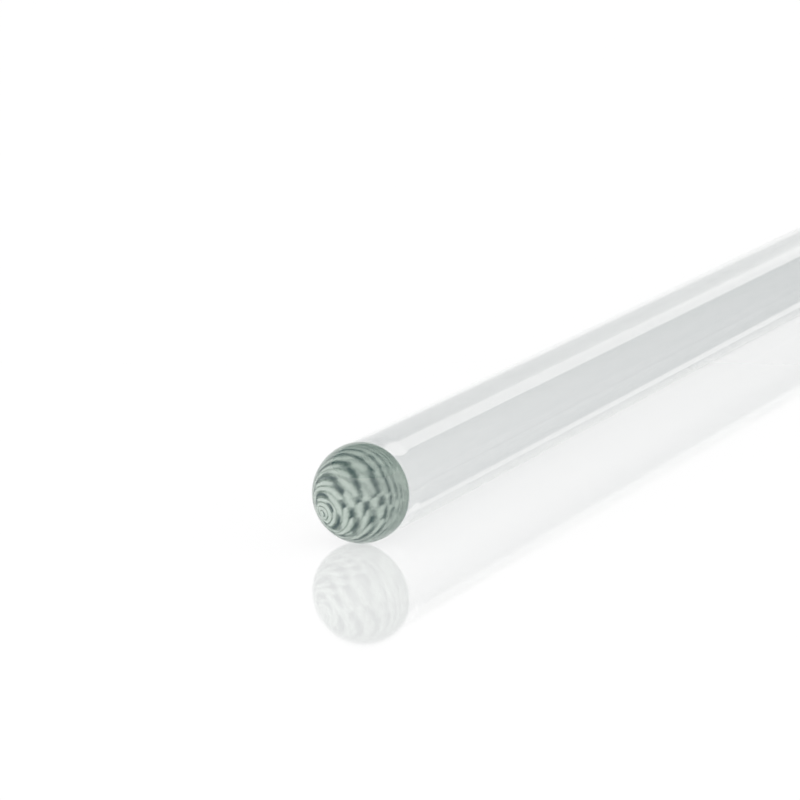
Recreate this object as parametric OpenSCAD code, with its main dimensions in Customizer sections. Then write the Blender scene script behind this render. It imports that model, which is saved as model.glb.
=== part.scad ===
// Glass stirring rod: one solid rod of drawn glass, with both ends melted round.
// The rod lies along X on the plane z = 0, with its middle over the origin and its
// rounder end at -X.

/* [Rod] */
// Diameter of the drawn rod
rod_d = 6; // [5:0.5:6.5]
// Overall length, from tip to tip
rod_len = 125; // [100:5:300]

/* [Round end] */
// Radius of the dome in the middle of the round end
dome_r = 3.5; // [3.5:0.25:8]
// Radius of the soft shoulder between this dome and the side
shoulder_r = 2.25; // [1:0.25:2.25]

/* [Flatter end] */
// Radius of the low dome on the other end, which was melted less
low_dome_r = 6.6; // [4:0.2:10]
// Radius of the shoulder between the low dome and the side
low_shoulder_r = 1.6; // [0.4:0.2:2.2]

/* [Hidden] */
$fn = 96;
rod_r = rod_d / 2;
// How far an end stands out beyond the last full-width section
end_h = dome_r - dome_drop(dome_r, shoulder_r);
low_end_h = low_dome_r - dome_drop(low_dome_r, low_shoulder_r);
// Straight side, from the foot of the round end to the foot of the flatter one
side_start = end_h - rod_len / 2;
side_end = rod_len / 2 - low_end_h;

// How far the shoulder's arc has its centre out from the axis
function shoulder_x(shoulder) = rod_r - shoulder;

// How far the dome's centre lies behind the shoulder's, for the two arcs to be tangent
function dome_drop(dome, shoulder) =
    sqrt(pow(dome - shoulder, 2) - pow(shoulder_x(shoulder), 2));

// Half outline of one end, standing on its foot. The dome keeps the part of its disc
// between the axis and the line through both arcs' centres, on which the arcs meet.
module end_outline(dome, shoulder) {
    out = shoulder_x(shoulder);
    drop = dome_drop(dome, shoulder);
    reach = 2 * dome;
    translate([0, -drop])
    intersection() {
        circle(r = dome);
        polygon([[0, 0], [reach * out / drop, reach], [0, reach]]);
    }
    translate([out, 0])
    intersection() {
        circle(r = shoulder);
        translate([-out, -shoulder]) square([rod_r, 2 * shoulder]);
    }
}

// Half outline of the rod, standing on its round end with its axis along Y
module rod_outline() {
    translate([0, side_start]) square([rod_r, side_end - side_start]);
    translate([0, side_start]) mirror([0, 1]) end_outline(dome_r, shoulder_r);
    translate([0, side_end]) end_outline(low_dome_r, low_shoulder_r);
}

module rod() {
    color([0.84, 0.9, 0.87, 0.4])
    translate([0, 0, rod_r])
    rotate([0, 90, 0])
    rotate_extrude() rod_outline();
}

rod();
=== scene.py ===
"""Glass stirring rod: the finished glass and a plain studio around the construction model.

Laid out as an add-on and run as a script. Lengths are in metres. The rod lies along X on the
plane z = 0, as the construction model does, and its near end is the one at the lowest X.
"""

import math

import bpy
import numpy as np
from mathutils import Matrix, Vector


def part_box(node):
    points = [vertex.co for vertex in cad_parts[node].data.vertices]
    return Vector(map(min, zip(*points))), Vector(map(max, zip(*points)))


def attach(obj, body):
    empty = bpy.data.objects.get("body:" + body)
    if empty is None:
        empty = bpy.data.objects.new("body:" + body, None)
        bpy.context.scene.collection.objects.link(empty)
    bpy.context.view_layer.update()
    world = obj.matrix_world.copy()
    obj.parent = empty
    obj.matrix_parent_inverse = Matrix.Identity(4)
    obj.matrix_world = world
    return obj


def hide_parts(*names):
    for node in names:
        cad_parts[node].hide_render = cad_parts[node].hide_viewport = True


bl_info = {
    "name": "Glass Stirring Rod",
    "version": (1, 0, 0),
    "blender": (4, 5, 0),
    "location": "3D View > Sidebar > Stirring Rod",
    "description": "A solid glass rod with melted ends, and a pale studio to see it in",
    "category": "Add Mesh",
}

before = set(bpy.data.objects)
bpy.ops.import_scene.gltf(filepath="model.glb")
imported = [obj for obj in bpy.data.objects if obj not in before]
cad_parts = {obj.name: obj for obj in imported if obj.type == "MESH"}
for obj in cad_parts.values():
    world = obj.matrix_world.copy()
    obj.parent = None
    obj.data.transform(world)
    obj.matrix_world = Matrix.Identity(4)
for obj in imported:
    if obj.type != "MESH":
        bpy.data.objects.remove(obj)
ROD_LOW, ROD_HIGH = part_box("rod")
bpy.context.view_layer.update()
MM = 0.001
WHITE = (1.0, 1.0, 1.0, 1.0)

# The draw waves: how many times each goes round the rod, and where on its way each starts
WAVE_COUNTS = np.array([5, 8, 13, 21, 34])
WAVE_STARTS = np.arange(len(WAVE_COUNTS)) * 2.4 + 0.7
# Nearly all of Blender's noise lies between these two levels
NOISE_LOW, NOISE_HIGH = 0.3, 0.7
# The rings in an end are light that has bounced off the side many times
GLASS_BOUNCES = 256
DIFFUSE_BOUNCES = 4
# What the camera can see, from near to far
CLIP_START, CLIP_END = 10 * MM, 20.0


# ---------------------------------------------------------------------------
# Settings
# ---------------------------------------------------------------------------


class RodSizes(bpy.types.PropertyGroup):
    """Sizes of the rod. Its diameter and length come from the construction model."""

    diameter: bpy.props.FloatProperty(
        name="Diameter",
        description="Diameter of the drawn rod",
        default=ROD_HIGH.z - ROD_LOW.z,
        min=2 * MM,
        unit="LENGTH",
    )
    length: bpy.props.FloatProperty(
        name="Length",
        description="Length over both melted ends",
        default=ROD_HIGH.x - ROD_LOW.x,
        min=50 * MM,
        unit="LENGTH",
    )
    dome_radius: bpy.props.FloatProperty(
        name="Dome radius",
        description="Radius of the dome in the middle of the round end",
        default=3.5 * MM,
        min=2.5 * MM,
        unit="LENGTH",
    )
    shoulder_radius: bpy.props.FloatProperty(
        name="Shoulder radius",
        description="Radius of the soft shoulder between this dome and the side",
        default=2.25 * MM,
        min=0.25 * MM,
        unit="LENGTH",
    )
    low_dome_radius: bpy.props.FloatProperty(
        name="Low dome radius",
        description="Radius of the low dome on the flatter end, which was melted less",
        default=6.6 * MM,
        min=2.5 * MM,
        unit="LENGTH",
    )
    low_shoulder_radius: bpy.props.FloatProperty(
        name="Low shoulder radius",
        description="Radius of the shoulder between the low dome and the side",
        default=1.6 * MM,
        min=0.1 * MM,
        unit="LENGTH",
    )
    neck: bpy.props.FloatProperty(
        name="Neck",
        description="How far the drawn side stands in from the melted ends, which swell a little",
        default=0.05 * MM,
        min=0.0,
        max=0.2 * MM,
        unit="LENGTH",
    )
    neck_reach: bpy.props.FloatProperty(
        name="Neck reach",
        description="Length over which the side runs in from an end's full width",
        default=2.5 * MM,
        min=0.5 * MM,
        unit="LENGTH",
    )
    draw_wave: bpy.props.FloatProperty(
        name="Draw lines",
        description="Slope of the faint ridges that drawing leaves along the rod",
        default=0.002,
        min=0.0,
        max=0.05,
    )
    flatness: bpy.props.FloatProperty(
        name="Flattening",
        description="How much thinner the drawn rod is one way than the other, as a share",
        default=0.03,
        min=0.0,
        max=0.05,
    )
    flat_turn: bpy.props.FloatProperty(
        name="Flattening turn",
        description="Turn round the rod of its widest way, from level",
        default=math.radians(130),
        subtype="ANGLE",
    )
    around: bpy.props.IntProperty(
        name="Steps around",
        description="Steps round the rod",
        default=384,
        min=24,
    )
    side_steps: bpy.props.IntProperty(
        name="Steps along the side",
        description="Steps along the straight side",
        default=73,
        min=1,
    )
    neck_steps: bpy.props.IntProperty(
        name="Steps along a neck",
        description="Steps along the neck behind each end",
        default=16,
        min=4,
    )
    arc_steps: bpy.props.IntProperty(
        name="Steps on an arc",
        description="Steps along the dome's arc, and along the shoulder's",
        default=28,
        min=4,
    )


class GlassFinish(bpy.types.PropertyGroup):
    """Look of the glass."""

    refraction: bpy.props.FloatProperty(
        name="Refractive index",
        description="Refractive index of the glass",
        default=1.5,
        min=1.3,
        max=1.8,
    )
    roughness: bpy.props.FloatProperty(
        name="Roughness",
        description="Roughness of the fire-polished surface",
        default=0.046,
        min=0.0,
        max=0.2,
    )
    depth_tint: bpy.props.FloatVectorProperty(
        name="Depth tint",
        description="Colour that the glass lets through along its length",
        default=(0.617, 0.70, 0.642),
        subtype="COLOR",
        min=0.0,
        max=1.0,
    )
    depth_density: bpy.props.FloatProperty(
        name="Depth density",
        description="How strongly a metre of glass takes on the depth tint",
        default=12.5,
        min=0.0,
    )
    streak_depth: bpy.props.FloatProperty(
        name="Streaks",
        description="How much the roughness varies from streak to streak, as a share of it",
        default=0.3,
        min=0.0,
        max=1.0,
    )
    streak_width: bpy.props.FloatProperty(
        name="Streak width",
        description="Width of a drawing streak round the rod",
        default=0.6 * MM,
        min=0.05 * MM,
        unit="LENGTH",
    )
    streak_length: bpy.props.FloatProperty(
        name="Streak length",
        description="Length of a drawing streak along the rod",
        default=40.0 * MM,
        min=1.0 * MM,
        unit="LENGTH",
    )


class StageLook(bpy.types.PropertyGroup):
    """Camera and floor."""

    heading: bpy.props.FloatProperty(
        name="Heading",
        description="Turn of the line of sight from the rod's own direction",
        default=math.radians(19.84),
        subtype="ANGLE",
    )
    dip: bpy.props.FloatProperty(
        name="Dip",
        description="Slope of the line of sight below the horizon",
        default=math.radians(9.80),
        subtype="ANGLE",
    )
    distance: bpy.props.FloatProperty(
        name="Distance",
        description="From the camera to the foot of the near end's dome",
        default=316.0 * MM,
        unit="LENGTH",
    )
    lens: bpy.props.FloatProperty(
        name="Focal length",
        description="Focal length of the lens, in millimetres",
        default=247.3,
    )
    aim_right: bpy.props.FloatProperty(
        name="Aim to the right",
        description="How far the line of sight passes to the right of that foot",
        default=2.17 * MM,
        unit="LENGTH",
    )
    aim_up: bpy.props.FloatProperty(
        name="Aim above",
        description="How far the line of sight passes above that foot",
        default=5.27 * MM,
        unit="LENGTH",
    )
    floor_half: bpy.props.FloatProperty(
        name="Floor half width",
        description="From the middle of the floor to its edge",
        default=3.0,
        unit="LENGTH",
    )
    floor_colour: bpy.props.FloatProperty(
        name="Floor whiteness",
        description="Share of light that the white floor scatters",
        default=0.2,
        min=0.0,
        max=0.95,
    )
    floor_glow: bpy.props.FloatProperty(
        name="Floor background level",
        description="White added to the floor where it is seen, mirrored or seen through glass",
        default=0.81,
        min=0.0,
    )
    floor_refraction: bpy.props.FloatProperty(
        name="Floor gloss refraction",
        description="Refractive index of the clear gloss that the camera sees on the floor",
        default=1.35,
        min=1.0,
        max=3.0,
    )
    floor_mirror: bpy.props.FloatProperty(
        name="Floor mirror share",
        description="Share of a mirror in the floor at level sight, as the glass shows it",
        default=0.94,
        min=0.0,
        max=1.0,
    )
    floor_rough: bpy.props.FloatProperty(
        name="Floor roughness",
        description="Roughness of the floor's gloss",
        default=0.05,
        min=0.0,
        max=1.0,
    )


class StudioLight(bpy.types.PropertyGroup):
    """White surroundings of the rod, with a dark ceiling and one tall dark screen."""

    level: bpy.props.FloatProperty(
        name="Light level",
        description="Brightness of the white surroundings, at which white renders as white",
        default=1.0,
        min=0.0,
    )
    dark_colour: bpy.props.FloatVectorProperty(
        name="Dark colour",
        description="Colour of the ceiling and the screen, as the glass shows them",
        default=(0.06, 0.11, 0.125),
        subtype="COLOR",
        min=0.0,
        max=1.0,
    )
    wall_top: bpy.props.FloatProperty(
        name="Wall top",
        description="Angle that the white walls rise to, below the dark ceiling",
        default=math.radians(31),
        subtype="ANGLE",
    )
    screen_start: bpy.props.FloatProperty(
        name="Screen start",
        description="Angle from the camera's line to the near edge of the dark screen, rightwards",
        default=math.radians(28),
        subtype="ANGLE",
    )
    screen_width: bpy.props.FloatProperty(
        name="Screen width",
        description="Angle from the near edge of the dark screen to the middle of its far edge",
        default=math.radians(36),
        subtype="ANGLE",
    )
    screen_fade: bpy.props.FloatProperty(
        name="Screen fade",
        description="Angle over which the far edge of the dark screen fades into white",
        default=math.radians(20),
        subtype="ANGLE",
    )
    soft: bpy.props.FloatProperty(
        name="Edge softness",
        description="Angle over which white fades into dark",
        default=math.radians(1),
        min=0.0,
        subtype="ANGLE",
    )


# ---------------------------------------------------------------------------
# Shapes
# ---------------------------------------------------------------------------


def end_arcs(sizes, dome_r, shoulder_r):
    """Outline of one melted end, as height above the end's foot and distance from the axis, and
    the angle at which the surface's normal leans from the axis at each point.

    The dome is an arc of radius D round a centre on the axis, and the shoulder an arc of radius S
    round a centre at R - S from the axis, level with the foot. The arcs touch inside one another
    when the two centres are D - S apart, so the dome's centre lies sqrt((D - S)^2 - (R - S)^2)
    below the foot, and both arcs end on the line through the centres.
    """
    rod_r = sizes.diameter / 2
    out = rod_r - shoulder_r
    drop = math.sqrt((dome_r - shoulder_r) ** 2 - out**2)
    meet = math.atan2(out, drop)
    dome_lean = np.linspace(0.0, meet, sizes.arc_steps + 1)
    side_lean = np.linspace(meet, math.pi / 2, sizes.arc_steps + 1)[1:]
    dome = np.column_stack([dome_r * np.cos(dome_lean) - drop, dome_r * np.sin(dome_lean)])
    shoulder = np.column_stack(
        [shoulder_r * np.cos(side_lean), out + shoulder_r * np.sin(side_lean)]
    )
    return np.vstack([dome, shoulder]), np.concatenate([dome_lean, side_lean])


def rod_outline(sizes):
    """Outline of the whole rod from the round tip to the flatter one: place along X and distance
    from the axis, then the surface's normal as its share along X and outwards.

    From each end's foot the side falls by the neck's depth N over the neck's reach L, as
    N (1 - cos(pi s / L)) / 2 at a length s from the foot, and then runs straight.
    """
    arcs, lean = end_arcs(sizes, sizes.dome_radius, sizes.shoulder_radius)
    low_arcs, low_lean = end_arcs(sizes, sizes.low_dome_radius, sizes.low_shoulder_radius)
    foot = arcs[0, 0] - sizes.length / 2
    low_foot = sizes.length / 2 - low_arcs[0, 0]
    rise = np.linspace(0, sizes.neck_reach, sizes.neck_steps + 1)
    middle = np.linspace(
        foot + sizes.neck_reach, low_foot - sizes.neck_reach, sizes.side_steps + 1
    )
    side_x = np.concatenate([foot + rise[1:], middle[1:-1], low_foot - rise[:0:-1]])
    inward = np.minimum(np.minimum(side_x - foot, low_foot - side_x) / sizes.neck_reach, 1.0)
    side_r = sizes.diameter / 2 - sizes.neck * (1 - np.cos(math.pi * inward)) / 2
    slope = -sizes.neck * math.pi / (2 * sizes.neck_reach) * np.sin(math.pi * inward)
    slope = np.where(side_x - foot < low_foot - side_x, slope, -slope)
    side_n = np.column_stack([-slope, np.ones_like(slope)])
    round_end = np.column_stack([foot - arcs[:, 0], arcs[:, 1]])
    low_end = np.column_stack([low_foot + low_arcs[:, 0], low_arcs[:, 1]])[::-1]
    outline = np.vstack([round_end, np.column_stack([side_x, side_r]), low_end])
    round_n = np.column_stack([-np.cos(lean), np.sin(lean)])
    low_n = np.column_stack([np.cos(low_lean), np.sin(low_lean)])[::-1]
    normals = np.vstack([round_n, side_n, low_n])
    return outline, normals / np.linalg.norm(normals, axis=1, keepdims=True)


def turned(outline, normals, steps, flatness, flat_turn, draw_wave):
    """Solid of revolution about a line along X, pressed a little flat one way and settled on z = 0.

    A point at place x, distance r and turn t lies at (x, k r cos t, k r sin t) from that line, where
    k = 1 - flatness (1 - cos 2(t - flat_turn)) / 2, plus the draw lines. Those are a sum of waves
    (draw_wave / c) (sin(c t + start) - 1), each going round c times, none of which stands proud.
    A normal leans back along the turn where k grows. The first and last points of the outline are
    on the axis, and each becomes one vertex, a pole.
    """
    turn = np.arange(steps) * (2 * math.pi / steps)
    out = np.stack([np.zeros(steps), np.cos(turn), np.sin(turn)], axis=1)
    aside = np.stack([np.zeros(steps), -np.sin(turn), np.cos(turn)], axis=1)
    phase = WAVE_COUNTS * turn[:, None] + WAVE_STARTS
    waves = (draw_wave / WAVE_COUNTS) * (np.sin(phase) - 1)
    wave_change = draw_wave * np.cos(phase)
    reach = 1 - flatness * (1 - np.cos(2 * (turn - flat_turn))) / 2 + waves.sum(axis=1)
    reach_change = -flatness * np.sin(2 * (turn - flat_turn)) + wave_change.sum(axis=1)
    along = np.array([1.0, 0.0, 0.0])
    inner, inner_n = outline[1:-1], normals[1:-1]
    grid = inner[:, None, 0, None] * along + inner[:, None, 1, None] * (reach[:, None] * out)
    leaning = out / reach[:, None] - aside * (reach_change / reach**2)[:, None]
    grid_n = inner_n[:, None, 0, None] * along + inner_n[:, None, 1, None] * leaning
    poles = outline[[0, -1], :1] * along
    points = np.vstack([grid.reshape(-1, 3), poles])
    points[:, 2] -= points[:, 2].min()
    pole_n = np.sign(normals[[0, -1], :1]) * along
    point_n = np.vstack([grid_n.reshape(-1, 3), pole_n])
    point_n /= np.linalg.norm(point_n, axis=1, keepdims=True)
    index = np.arange(len(inner) * steps).reshape(len(inner), steps)
    after = np.roll(index, -1, axis=1)
    quads = np.stack([index[:-1], after[:-1], after[1:], index[1:]], axis=-1).reshape(-1, 4)
    near_pole, far_pole = index.size, index.size + 1
    near_fan = np.stack([after[0], index[0], np.full(steps, near_pole)], axis=-1)
    far_fan = np.stack([index[-1], after[-1], np.full(steps, far_pole)], axis=-1)
    faces = quads.tolist() + near_fan.tolist() + far_fan.tolist()
    return points, point_n, faces


def new_piece(name, points, faces, material):
    """Smooth mesh object at the origin, with its place in its mesh."""
    mesh = bpy.data.meshes.new(name)
    mesh.from_pydata(points.tolist(), [], faces)
    mesh.validate()
    mesh.materials.append(material)
    mesh.shade_smooth()
    piece = bpy.data.objects.new(name, mesh)
    bpy.context.scene.collection.objects.link(piece)
    return piece


# ---------------------------------------------------------------------------
# Materials
# ---------------------------------------------------------------------------


def add_node(tree, kind, place, links=None, settings=None, **values):
    """New node at a place. Its settings and its inputs' plain values are given by name, and
    links gives the sockets that feed its inputs."""
    node = tree.nodes.new(kind)
    node.location = place
    for key, value in (settings or {}).items():
        setattr(node, key, value)
    for key, value in values.items():
        node.inputs[key.replace("_", " ")].default_value = value
    for key, socket in (links or {}).items():
        tree.links.new(socket, node.inputs[key])
    return node


def calculate(tree, operation, place, first, second=None):
    """Output of a new Math node. Each of its two inputs is a socket or a plain number."""
    node = add_node(tree, "ShaderNodeMath", place, settings={"operation": operation})
    for slot, value in enumerate((first, second)):
        if isinstance(value, bpy.types.NodeSocket):
            tree.links.new(value, node.inputs[slot])
        elif value is not None:
            node.inputs[slot].default_value = value
    return node.outputs[0]


def glass_material(finish):
    """Clear glass, streaked faintly along the rod by drawing, with a tint that shows only through
    a long depth of it."""
    material = bpy.data.materials.new("clear_glass")
    material.use_nodes = True
    tree = material.node_tree
    tree.nodes.clear()
    coord = add_node(tree, "ShaderNodeTexCoord", (-800, 0))
    stretch = add_node(tree, "ShaderNodeMapping", (-600, 0), {"Vector": coord.outputs["Object"]})
    across = 1 / finish.streak_width
    stretch.inputs["Scale"].default_value = (1 / finish.streak_length, across, across)
    streaks = add_node(
        tree, "ShaderNodeTexNoise", (-400, 0), {"Vector": stretch.outputs[0]}, Scale=1.0, Detail=2.0
    )
    rough = add_node(
        tree,
        "ShaderNodeMapRange",
        (-200, 0),
        {"Value": streaks.outputs["Fac"]},
        From_Min=NOISE_LOW,
        From_Max=NOISE_HIGH,
        To_Min=finish.roughness * (1 - finish.streak_depth),
        To_Max=finish.roughness * (1 + finish.streak_depth),
    )
    glass = add_node(
        tree,
        "ShaderNodeBsdfPrincipled",
        (0, 0),
        {"Roughness": rough.outputs[0]},
        Base_Color=WHITE,
        IOR=finish.refraction,
        Transmission_Weight=1.0,
    )
    depth = add_node(
        tree,
        "ShaderNodeVolumeAbsorption",
        (0, -400),
        Color=(*finish.depth_tint, 1.0),
        Density=finish.depth_density,
    )
    add_node(
        tree,
        "ShaderNodeOutputMaterial",
        (300, 0),
        {"Surface": glass.outputs[0], "Volume": depth.outputs[0]},
    )
    return material


def floor_material(look):
    """White acrylic: white below a clear gloss that grows towards level sight.

    Where it is looked at, mirrored or seen through glass, its white is lifted to the
    background's, and its diffuse share keeps the rod's shadow. Seen from the rod, the gloss
    grows from none straight down to floor_mirror at level sight.
    """
    material = bpy.data.materials.new("white_acrylic")
    material.use_nodes = True
    tree = material.node_tree
    tree.nodes.clear()
    white = add_node(tree, "ShaderNodeBsdfDiffuse", (200, 0), Color=(*[look.floor_colour] * 3, 1.0))
    seen = add_node(tree, "ShaderNodeLightPath", (-600, -200))
    glossy, through = seen.outputs["Is Glossy Ray"], seen.outputs["Is Transmission Ray"]
    either = calculate(tree, "MAXIMUM", (-400, -300), glossy, through)
    share = calculate(tree, "MAXIMUM", (-200, -100), seen.outputs["Is Camera Ray"], either)
    lift = calculate(tree, "MULTIPLY", (0, -200), share, look.floor_glow)
    glow = add_node(tree, "ShaderNodeEmission", (200, -200), {"Strength": lift}, Color=WHITE)
    body = add_node(tree, "ShaderNodeAddShader", (400, -100))
    tree.links.new(white.outputs[0], body.inputs[0])
    tree.links.new(glow.outputs[0], body.inputs[1])
    gloss = add_node(
        tree, "ShaderNodeBsdfGlossy", (400, -300), Color=WHITE, Roughness=look.floor_rough
    )
    clear = add_node(tree, "ShaderNodeFresnel", (200, 200), IOR=look.floor_refraction)
    level = add_node(tree, "ShaderNodeLayerWeight", (0, 400), Blend=0.5)
    sheen = calculate(tree, "MULTIPLY", (200, 400), level.outputs["Facing"], look.floor_mirror)
    mirror = add_node(
        tree,
        "ShaderNodeMapRange",
        (400, 200),
        {"Value": seen.outputs["Is Camera Ray"], "To Min": sheen, "To Max": clear.outputs[0]},
    )
    mixed = add_node(tree, "ShaderNodeMixShader", (600, 0), {"Fac": mirror.outputs[0]})
    tree.links.new(body.outputs[0], mixed.inputs[1])
    tree.links.new(gloss.outputs[0], mixed.inputs[2])
    add_node(tree, "ShaderNodeOutputMaterial", (800, 0), {"Surface": mixed.outputs[0]})
    return material


# ---------------------------------------------------------------------------
# Stage
# ---------------------------------------------------------------------------


def rising(tree, place, value, edge, soft):
    """Soft step: 0 where the value is below the edge, and 1 above it."""
    node = add_node(
        tree,
        "ShaderNodeMapRange",
        place,
        {"Value": value},
        {"interpolation_type": "SMOOTHSTEP"},
        From_Min=edge - soft / 2,
        From_Max=edge + soft / 2,
    )
    return node.outputs[0]


def studio_world(light, heading):
    """White walls all round, below a dark ceiling, with a tall dark screen to the right.

    The glass and the floor's gloss show these surroundings. The camera and all diffuse light meet
    plain white instead, so the floor is lit evenly and the background is white.
    """
    world = bpy.data.worlds.new("studio")
    bpy.context.scene.world = world
    world.use_nodes = True
    world.cycles.sampling_method = "NONE"
    tree = world.node_tree
    tree.nodes.clear()
    coord = add_node(tree, "ShaderNodeTexCoord", (-1600, 0))
    ahead = add_node(
        tree,
        "ShaderNodeVectorRotate",
        (-1400, 0),
        {"Vector": coord.outputs["Generated"]},
        {"rotation_type": "Z_AXIS"},
        Angle=-heading,
    )
    axes = add_node(tree, "ShaderNodeSeparateXYZ", (-1200, 0), {0: ahead.outputs[0]})
    leftwards = calculate(tree, "ARCTAN2", (-1000, 200), axes.outputs["Y"], axes.outputs["X"])
    rightwards = calculate(tree, "MULTIPLY", (-800, 200), leftwards, -1.0)
    height = calculate(tree, "ARCSINE", (-1000, -200), axes.outputs["Z"])
    screen_end = light.screen_start + light.screen_width
    past_start = rising(tree, (-600, 400), rightwards, light.screen_start, light.soft)
    past_end = rising(tree, (-600, 200), rightwards, screen_end, light.screen_fade)
    screen = calculate(tree, "SUBTRACT", (-400, 300), past_start, past_end)
    ceiling = rising(tree, (-600, 0), height, light.wall_top, light.soft)
    dark = calculate(tree, "MAXIMUM", (-200, 200), screen, ceiling)
    ray = add_node(tree, "ShaderNodeLightPath", (-400, 700))
    diffuse, seen = ray.outputs["Is Diffuse Ray"], ray.outputs["Is Camera Ray"]
    plain = calculate(tree, "MAXIMUM", (-200, 500), diffuse, seen)
    shown = calculate(tree, "SUBTRACT", (0, 300), dark, plain)
    colour = add_node(
        tree,
        "ShaderNodeMixRGB",
        (200, 200),
        {"Fac": shown},
        {"use_clamp": True},
        Color1=WHITE,
        Color2=(*light.dark_colour, 1.0),
    )
    back = add_node(
        tree, "ShaderNodeBackground", (400, 200), {"Color": colour.outputs[0]}, Strength=light.level
    )
    add_node(tree, "ShaderNodeOutputWorld", (600, 200), {"Surface": back.outputs[0]})


def place_camera(look):
    """Camera that looks past the near end of the rod, aimed from the foot of its dome."""
    sizes = bpy.context.scene.rod_sizes
    cos_dip, sin_dip = math.cos(look.dip), math.sin(look.dip)
    sight = Vector((cos_dip * math.cos(look.heading), cos_dip * math.sin(look.heading), -sin_dip))
    right = Vector((math.sin(look.heading), -math.cos(look.heading), 0.0))
    up = right.cross(sight)
    arcs, _ = end_arcs(sizes, sizes.dome_radius, sizes.shoulder_radius)
    foot = Vector((arcs[0, 0] - sizes.length / 2, 0.0, sizes.diameter / 2))
    aim = foot + look.aim_right * right + look.aim_up * up
    data = bpy.data.cameras.new("camera")
    data.lens = look.lens
    data.clip_start = CLIP_START
    data.clip_end = CLIP_END
    camera = bpy.data.objects.new("camera", data)
    camera.matrix_world = Matrix.Translation(aim - look.distance * sight) @ Matrix(
        (right, up, -sight)
    ).transposed().to_4x4()
    bpy.context.scene.collection.objects.link(camera)
    bpy.context.scene.camera = camera


# ---------------------------------------------------------------------------
# Operators
# ---------------------------------------------------------------------------


class STIRROD_OT_rod(bpy.types.Operator):
    """Build the glass rod in place of its construction solid"""

    bl_idname = "stirrod.rod"
    bl_label = "Glass Rod"

    def execute(self, context):
        sizes = context.scene.rod_sizes
        material = glass_material(context.scene.glass_finish)
        outline, normals = rod_outline(sizes)
        points, point_n, faces = turned(
            outline, normals, sizes.around, sizes.flatness, sizes.flat_turn, sizes.draw_wave
        )
        rod = new_piece("glass_rod", points, faces, material)
        rod.data.normals_split_custom_set_from_vertices(point_n.tolist())
        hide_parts("rod")
        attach(rod, "root")
        return {"FINISHED"}


class STIRROD_OT_stage(bpy.types.Operator):
    """Lay the floor, light the studio and set up the camera"""

    bl_idname = "stirrod.stage"
    bl_label = "Studio"

    def execute(self, context):
        look = context.scene.stage_look
        half = look.floor_half
        corners = np.array([[-half, -half, 0], [half, -half, 0], [half, half, 0], [-half, half, 0]])
        floor = new_piece("floor", corners, [[0, 1, 2, 3]], floor_material(look))
        studio_world(context.scene.studio_light, look.heading)
        place_camera(look)
        scene = context.scene
        scene.view_settings.view_transform = "Standard"
        scene.cycles.max_bounces = GLASS_BOUNCES
        scene.cycles.glossy_bounces = GLASS_BOUNCES
        scene.cycles.transmission_bounces = GLASS_BOUNCES
        scene.cycles.diffuse_bounces = DIFFUSE_BOUNCES
        scene.cycles.volume_bounces = 0
        return {"FINISHED"}


class STIRROD_PT_panel(bpy.types.Panel):
    """Settings and steps of the stirring rod"""

    bl_label = "Stirring Rod"
    bl_idname = "STIRROD_PT_panel"
    bl_space_type = "VIEW_3D"
    bl_region_type = "UI"
    bl_category = "Stirring Rod"

    def draw(self, context):
        for settings, step in (
            ("rod_sizes", None),
            ("glass_finish", "stirrod.rod"),
            ("studio_light", None),
            ("stage_look", "stirrod.stage"),
        ):
            group = getattr(context.scene, settings)
            for name in group.__annotations__:
                self.layout.prop(group, name)
            if step:
                self.layout.operator(step)


CLASSES = (
    RodSizes,
    GlassFinish,
    StageLook,
    StudioLight,
    STIRROD_OT_rod,
    STIRROD_OT_stage,
    STIRROD_PT_panel,
)


def register():
    for cls in CLASSES:
        bpy.utils.register_class(cls)
    bpy.types.Scene.rod_sizes = bpy.props.PointerProperty(type=RodSizes)
    bpy.types.Scene.glass_finish = bpy.props.PointerProperty(type=GlassFinish)
    bpy.types.Scene.stage_look = bpy.props.PointerProperty(type=StageLook)
    bpy.types.Scene.studio_light = bpy.props.PointerProperty(type=StudioLight)


def unregister():
    del bpy.types.Scene.studio_light
    del bpy.types.Scene.stage_look
    del bpy.types.Scene.glass_finish
    del bpy.types.Scene.rod_sizes
    for cls in reversed(CLASSES):
        bpy.utils.unregister_class(cls)


def main():
    register()
    bpy.ops.stirrod.rod()
    bpy.ops.stirrod.stage()


if __name__ == "__main__":
    main()
